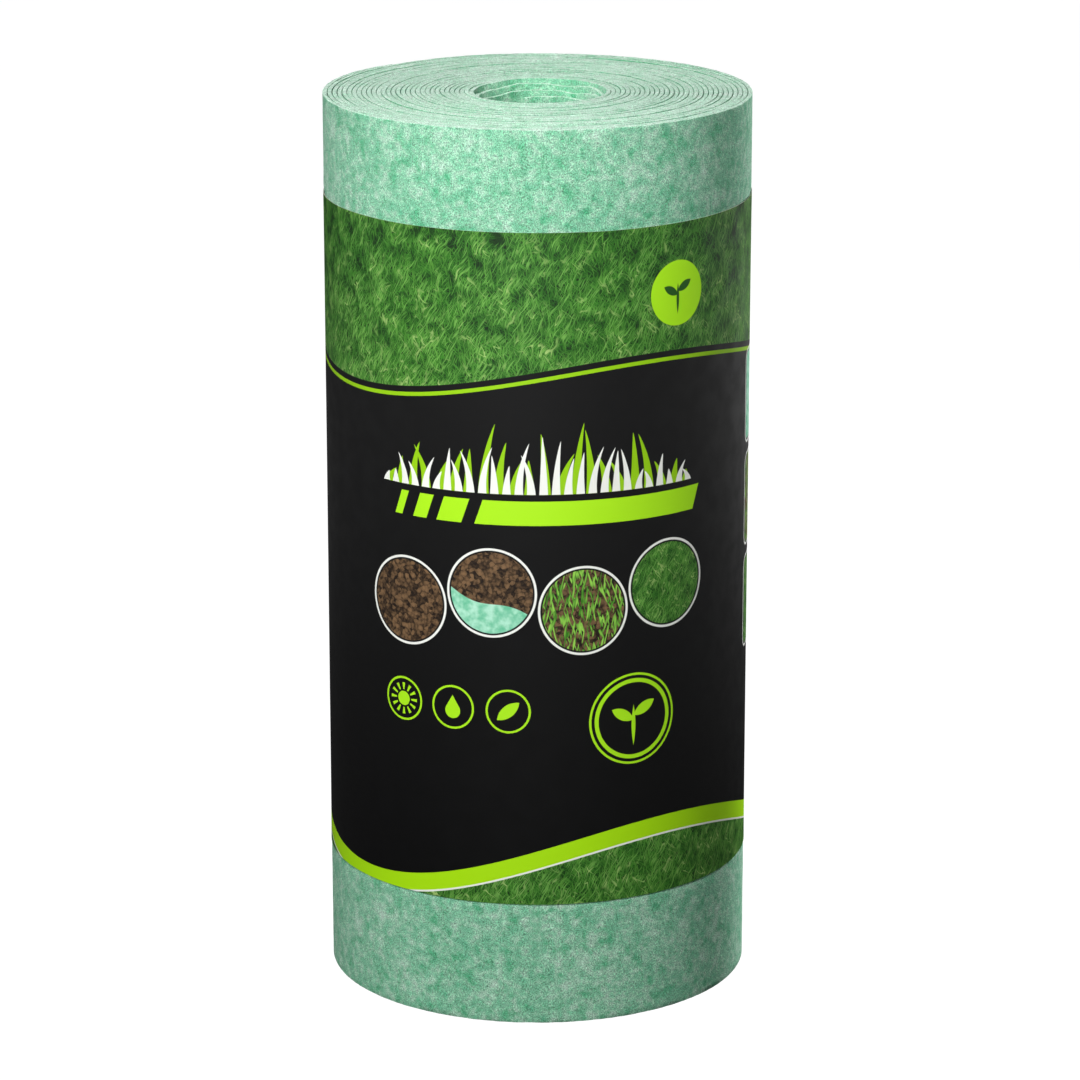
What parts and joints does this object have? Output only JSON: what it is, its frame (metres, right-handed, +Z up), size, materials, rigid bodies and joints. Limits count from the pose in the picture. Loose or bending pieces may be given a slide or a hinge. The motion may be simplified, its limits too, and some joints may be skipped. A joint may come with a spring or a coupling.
{
  "type": "roll of grass seed mat",
  "caption": "Upright roll of green fibre grass seed mat, wound round an open bore, with a printed paper sleeve round its middle.",
  "frame": {"origin": "centre of the end that the roll stands on, on the axis of the bore", "axes": "+Z up along the roll's axis; -Y is the front, where the print's main panel faces; the sleeve's glued lap is at the back"},
  "size_m": [0.1924, 0.1924, 0.406],
  "materials": {
    "seed_mat": "matt felted fibre, mottled mint green",
    "sleeve_paper": "coated satin paper, printed black with grass green and lime"
  },
  "bodies": {
    "root": {"mat_roll": "seed_mat", "printed_sleeve": "sleeve_paper"}
  },
  "joints": []
}
